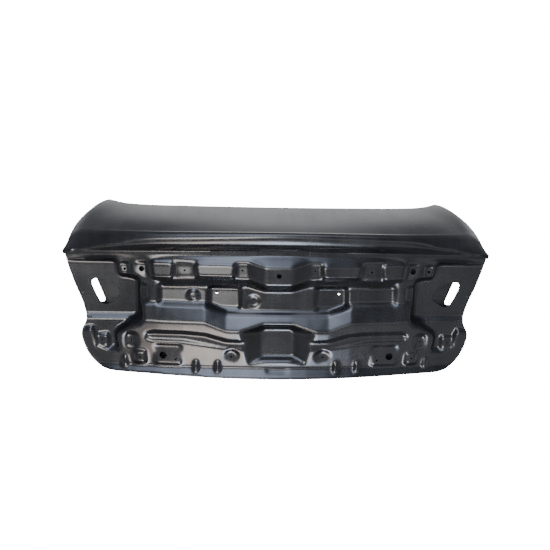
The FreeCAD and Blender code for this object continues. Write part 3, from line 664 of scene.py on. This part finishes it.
def three_point_arc(start: tuple, middle: tuple, end: tuple, count: int) -> np.ndarray:
    """Samples the circle arc through three points.

    Args:
        start: Where the arc starts.
        middle: A point that it passes.
        end: Where it ends.
        count: How many samples.

    Returns:
        The samples, one row each.
    """
    (ax, ay), (bx, by), (cx, cy) = start, middle, end
    a2 = ax ** 2 + ay ** 2
    b2 = bx ** 2 + by ** 2
    c2 = cx ** 2 + cy ** 2
    double_area = 2 * (ax * (by - cy) + bx * (cy - ay) + cx * (ay - by))
    ux = (a2 * (by - cy) + b2 * (cy - ay) + c2 * (ay - by)) / double_area
    uy = (a2 * (cx - bx) + b2 * (ax - cx) + c2 * (bx - ax)) / double_area
    radius = math.hypot(ax - ux, ay - uy)
    first = math.atan2(ay - uy, ax - ux)
    last = first + math.remainder(math.atan2(cy - uy, cx - ux) - first, math.tau)
    turn = np.linspace(first, last, count)
    return np.stack([ux + radius * np.cos(turn), uy + radius * np.sin(turn)], -1)


@dataclass(frozen=True)
class LeaningSeat:
    """A small seat of the back panel that leans back, on both sides of the car.

    Its edges and its shift forward are in metres. The lean is in degrees, and so is the turn, which is
    positive where the seat's outer edge moves forward.
    """

    inner: float
    outer: float
    low: float
    high: float
    forward: float
    lean: float
    turn: float = 0.0
    edge: float = 0.004

    def shift(self, x: np.ndarray, z: np.ndarray) -> np.ndarray:
        """Gives how far the sheet moves forward.

        Args:
            x: The grid's x values, along a row.
            z: Its z values, along a column.

        Returns:
            The move of each place of the grid, none outside the seat.
        """
        across = np.abs(x)
        inside = (across - self.inner, self.outer - across, z - self.low, self.high - z)
        shares = [np.clip(distance / self.edge + 0.5, 0, 1) for distance in inside]
        rise = z - (self.low + self.high) / 2
        run = across - (self.inner + self.outer) / 2
        tilt = math.tan(math.radians(self.lean)) * rise + math.tan(math.radians(self.turn)) * run
        return np.prod(np.broadcast_arrays(*shares), 0) * (self.forward + tilt)


@dataclass
class BackPanel:
    """Lower outer sheet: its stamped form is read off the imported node, then given the press's soft radii.

    The sheet is one grid seen from behind the car. Holes are punched through it afterwards, each given as
    x, z and radius.
    """

    columns: int = 380
    rows: int = 120
    crease_radius: float = 0.0045
    side: tuple = ((0.682, -0.084), (0.655, -0.178), (0.632, -0.236), (0.619, -0.283))
    waist: tuple = ((0.619, -0.283), (0.6185, -0.302), (0.628, -0.322))
    corner: tuple = ((0.628, -0.322), (0.633, -0.345), (0.625, -0.384), (0.605, -0.425), (0.567, -0.457),
                     (0.515, -0.466))
    bottom: tuple = ((0.515, -0.466), (0.383, -0.469), (0.194, -0.474), (0.0, -0.476))
    top_z: float = -0.060
    hem_top_z: float = -0.100
    top_corner: tuple = (TIP_X, -0.075)
    top_drop: float = 0.019
    margin: float = 0.004
    opening_radius: float = 0.009
    hole_points: int = 28
    key_hole_points: int = 36
    line_samples: tuple = (24, 8, 40, 30)
    lamp_opening: tuple = ((0.600, -0.174), (0.590, -0.166), (0.558, -0.171), (0.531, -0.184),
                           (0.509, -0.208), (0.516, -0.231), (0.543, -0.248), (0.555, -0.2525),
                           (0.570, -0.246), (0.583, -0.222), (0.597, -0.190))
    round_holes: tuple = ((0.491, -0.129, 0.0045), (0.299, -0.125, 0.0035), (0.116, -0.122, 0.0035),
                          (0.443, -0.414, 0.0035), (0.470, -0.360, 0.0045), (0.566, -0.3675, 0.0045),
                          (0.368, -0.406, 0.012), (0.327, -0.418, 0.0035), (0.197, -0.200, 0.004),
                          (0.148, -0.405, 0.003), (0.628, -0.214, 0.004), (0.436, -0.1255, 0.009))
    key_hole: tuple = (0.0, -0.134, 0.008)
    seats: tuple = (
        LeaningSeat(0.142, 0.262, -0.142, -0.104, 0.004, 4.0),
        LeaningSeat(0.338, 0.406, -0.150, -0.102, 0.004, 3.0),
        LeaningSeat(0.098, 0.134, -0.144, -0.100, 0.0, 3.0),
        LeaningSeat(0.278, 0.320, -0.145, -0.105, 0.0, 4.0),
        LeaningSeat(0.417, 0.455, -0.147, -0.104, 0.0, 6.0, -5.0),
        LeaningSeat(0.475, 0.507, -0.148, -0.110, 0.0, 6.0, -7.0),
        LeaningSeat(0.122, 0.220, -0.249, -0.182, 0.0, 4.0),
        LeaningSeat(0.222, 0.382, -0.234, -0.181, 0.0, 4.0),
    )

    def read_form(self, node: bpy.types.Object) -> tuple:
        """Reads how far forward the node's outer face lies, over an upright grid.

        Args:
            node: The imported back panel.

        Returns:
            The grid's x values, its z values, and the y values by row, all in metres.
        """
        low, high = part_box("back_panel")
        x = np.linspace(low.x - self.margin, high.x + self.margin, self.columns)
        z = np.linspace(low.z - self.margin, self.top_z + self.margin, self.rows)
        bpy.ops.object.select_all(action="DESELECT")
        bpy.ops.mesh.primitive_grid_add(x_subdivisions=self.columns - 1,
                                        y_subdivisions=self.rows - 1, size=1)
        grid = bpy.context.object
        start = low.y - FAR
        place = np.array([(px, start, pz) for pz in z for px in x])
        grid.data.vertices.foreach_set("co", place.ravel())
        apply_modifier(grid, "SHRINKWRAP", target=node, wrap_method="PROJECT", use_project_x=False,
                       use_project_y=True, use_negative_direction=False, use_positive_direction=True)
        read = np.zeros(len(place) * 3)
        grid.data.vertices.foreach_get("co", read)
        bpy.data.objects.remove(grid)
        y = read.reshape(self.rows, self.columns, 3)[:, :, 1]
        missed = y < start + MM
        return x, z, np.where(missed, np.nan, y)

    def build(self) -> bpy.types.Object:
        """Makes the sheet.

        Returns:
            The finished sheet.
        """
        x, z, y = self.read_form(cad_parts["back_panel"])
        y = fill_gaps(y) + sum(seat.shift(x[None, :], z[:, None]) for seat in self.seats)
        y = blurred(y, self.crease_radius / (x[1] - x[0]), self.crease_radius / (z[1] - z[0]))
        points = np.stack(np.broadcast_arrays(x[None, :], y, z[:, None]), -1)
        sheet = hemmed("stamped_back_panel", points, self.trim, self.strip)
        combine(sheet, self.punches(), Join.CUT)
        keep_in_box(sheet, "back_panel")
        select_only(sheet)
        bpy.ops.object.shade_smooth_by_angle(angle=SMOOTH_ANGLE)
        return sheet

    def trim(self, inset: float) -> bpy.types.Object:
        """Solid inside the outline, moved in by a distance."""
        return upright_prism("outline", moved_in(self.outline()[::-1], inset), PUNCH_REAR_Y, PUNCH_FRONT_Y)

    def strip(self) -> bpy.types.Object:
        """Solid in which the folded edge lies."""
        ring = [(-FAR, -FAR), (FAR, -FAR), (FAR, self.hem_top_z), (-FAR, self.hem_top_z)]
        return upright_prism("strip", ring, PUNCH_REAR_Y, PUNCH_FRONT_Y)

    def outline(self) -> list:
        """Draws the sheet's outline, seen from behind the car.

        Returns:
            Its points as x and z, clockwise.
        """
        half = [(0.0, self.top_z), (TIP_X, self.top_z - self.top_drop), self.top_corner]
        lines = (self.side, self.waist, self.corner, self.bottom)
        for line, count in zip(lines, self.line_samples):
            start = 0 if line is self.side else 1
            half += [tuple(p) for p in smooth_line(line, count)[start:]]
        return half + [(-px, pz) for px, pz in reversed(half[1:-1])]

    def punches(self) -> bpy.types.Object:
        """Makes the cutters of every hole.

        Returns:
            One object with all of them.
        """
        cutters = []
        for sign in (1, -1):
            opening = [(sign * px, pz) for px, pz in rounded(self.lamp_opening, self.opening_radius)]
            cutters.append(upright_prism("lamp", opening, PUNCH_REAR_Y, PUNCH_FRONT_Y))
            for px, pz, radius in self.round_holes:
                ring = circle(sign * px, pz, radius, self.hole_points)
                cutters.append(upright_prism("hole", ring, PUNCH_REAR_Y, PUNCH_FRONT_Y))
        ring = circle(*self.key_hole, self.key_hole_points)
        cutters.append(upright_prism("hole", ring, PUNCH_REAR_Y, PUNCH_FRONT_Y))
        bpy.ops.object.select_all(action="DESELECT")
        for cutter in cutters:
            cutter.select_set(True)
        bpy.context.view_layer.objects.active = cutters[0]
        bpy.ops.object.join()
        return bpy.context.object


def circle(x: float, z: float, radius: float, count: int) -> list:
    """Points of a circle seen from behind the car."""
    return [(x + radius * math.cos(math.tau * k / count), z + radius * math.sin(math.tau * k / count))
            for k in range(count)]


def rounded(points: tuple, radius: float, steps: int = 6) -> list:
    """Rounds the corners of an outline.

    Args:
        points: The outline's corners.
        radius: The corners' radius.
        steps: Points on each corner.

    Returns:
        The rounded outline.
    """
    result = []
    count = len(points)
    for i in range(count):
        corner = Vector(points[i])
        before = (Vector(points[i - 1]) - corner).normalized()
        after = (Vector(points[(i + 1) % count]) - corner).normalized()
        half = before.angle(after) / 2
        middle = corner + (before + after).normalized() * radius / math.sin(half)
        first = corner + before * radius / math.tan(half) - middle
        last = corner + after * radius / math.tan(half) - middle
        for k in range(steps + 1):
            spoke = first.lerp(last, k / steps).normalized() * radius
            result.append(tuple(middle + spoke))
    return result


def upright_prism(name: str, outline: list, y_rear: float, y_front: float) -> bpy.types.Object:
    """Makes a closed prism along the car from an outline seen from behind.

    Args:
        name: The object's name.
        outline: Points as x and z.
        y_rear: Its rear end.
        y_front: Its front end.

    Returns:
        The new object, its faces outwards.
    """
    area = sum(a[0] * b[1] - b[0] * a[1] for a, b in zip(outline, outline[1:] + outline[:1]))
    ring = list(outline) if area > 0 else list(reversed(outline))
    count = len(ring)
    verts = [(x, y_rear, z) for x, z in ring] + [(x, y_front, z) for x, z in ring]
    faces = [tuple(range(count)), tuple(reversed(range(count, 2 * count)))]
    faces += [(i, i + count, (i + 1) % count + count, (i + 1) % count) for i in range(count)]
    mesh = bpy.data.meshes.new(name)
    mesh.from_pydata(verts, [], faces)
    obj = bpy.data.objects.new(name, mesh)
    bpy.context.collection.objects.link(obj)
    return obj


def fill_gaps(values: np.ndarray, smoothings: int = 60) -> np.ndarray:
    """Fills the empty places of a grid smoothly from what lies round them.

    Args:
        values: The grid, empty places as not-a-number.
        smoothings: How often the filled places are evened out.

    Returns:
        The grid with every place filled.
    """
    known = ~np.isnan(values)
    filled = np.where(known, values, 0.0)
    reach = known.astype(float)
    while (reach == 0).any():
        total = np.zeros_like(filled)
        weight = np.zeros_like(filled)
        padded = np.pad(filled * (reach > 0), 1)
        counted = np.pad((reach > 0).astype(float), 1)
        for i in range(3):
            for j in range(3):
                total += padded[i:i + filled.shape[0], j:j + filled.shape[1]]
                weight += counted[i:i + filled.shape[0], j:j + filled.shape[1]]
        grow = (reach == 0) & (weight > 0)
        filled = np.where(grow, total / np.maximum(weight, 1), filled)
        reach = np.where(grow, 1.0, reach)
    for _ in range(smoothings):
        around = np.pad(filled, 1, mode="edge")
        mean = (around[:-2, 1:-1] + around[2:, 1:-1] + around[1:-1, :-2] + around[1:-1, 2:]) / 4
        filled = np.where(known, filled, mean)
    return filled


def blurred(values: np.ndarray, across: float, down: float) -> np.ndarray:
    """Rounds a grid's creases with a bell-shaped mean.

    Args:
        values: The grid.
        across: The bell's width along a row, in cells.
        down: The bell's width along a column, in cells.

    Returns:
        The rounded grid.
    """
    for axis, width in ((1, across), (0, down)):
        reach = max(1, int(math.ceil(width * 3)))
        bell = np.exp(-0.5 * (np.arange(-reach, reach + 1) / width) ** 2)
        bell /= bell.sum()
        pad = [(0, 0), (0, 0)]
        pad[axis] = (reach, reach)
        wide = np.pad(values, pad, mode="reflect", reflect_type="odd")
        values = sum(share * np.take(wide, range(k, k + values.shape[axis]), axis=axis)
                     for k, share in enumerate(bell))
    return values


class Finishes(Enum):
    """The lid's finishes."""

    # Primer coat, dipped and baked on deep-drawn steel sheet, as a spare lid is delivered: nearly black and
    # satin, so it shows its surroundings softly, with grey dust in streaks.
    ELECTROCOAT = Finish("black_electrocoat_on_steel", "#0f1012", "#36383b", 0.21)
    # The same coat inside the lid, where it runs thinner and stays duller.
    INNER_ELECTROCOAT = Finish("black_electrocoat_inside", "#101113", "#303133", 0.42)
    # Weld nuts, coated with the lid and rough where they were forged.
    NUT = Finish("coated_weld_nut_steel", "#222326", "#4a4b4d", 0.38, streak_mm=(12.0, 12.0, 12.0))
    # Soft anti-flutter mastic, pressed between the ribs and the skin: matt and a little lumpy.
    MASTIC = Finish("anti_flutter_mastic", "#2d2c2a", "#3b3936", 0.8, specular=0.25, wave_mm=6.0)


NODE_FINISH = {
    "inner_panel": Finishes.INNER_ELECTROCOAT,
    "hinge_reinforcement_right": Finishes.INNER_ELECTROCOAT,
    "hinge_reinforcement_left": Finishes.INNER_ELECTROCOAT,
    "latch_reinforcement": Finishes.INNER_ELECTROCOAT,
    "hinge_weld_nuts": Finishes.NUT,
    "latch_weld_nuts": Finishes.NUT,
    "trim_weld_nuts": Finishes.NUT,
    "mastic_drops": Finishes.MASTIC,
}


def dress(piece: bpy.types.Object, material: bpy.types.Material) -> None:
    """Gives a piece one material and reports it.

    Args:
        piece: The piece.
        material: Its material.
    """
    piece.data.materials.clear()
    piece.data.materials.append(material)
    log.info("%s: %s, %d faces", piece.name, material.name, len(piece.data.polygons))


def main() -> None:
    """Builds the studio and every piece."""
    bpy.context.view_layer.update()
    Studio().build()
    PhotoCamera().build()
    materials = {finish: finish.value.material() for finish in Finishes}
    for node, finish in NODE_FINISH.items():
        dress(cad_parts[node], materials[finish])
    for maker, node in ((Skin(), "skin"), (BackPanel(), "back_panel")):
        piece = maker.build()
        dress(piece, materials[Finishes.ELECTROCOAT])
        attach(piece, "root")
        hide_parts(node)


if __name__ == "__main__":
    main()
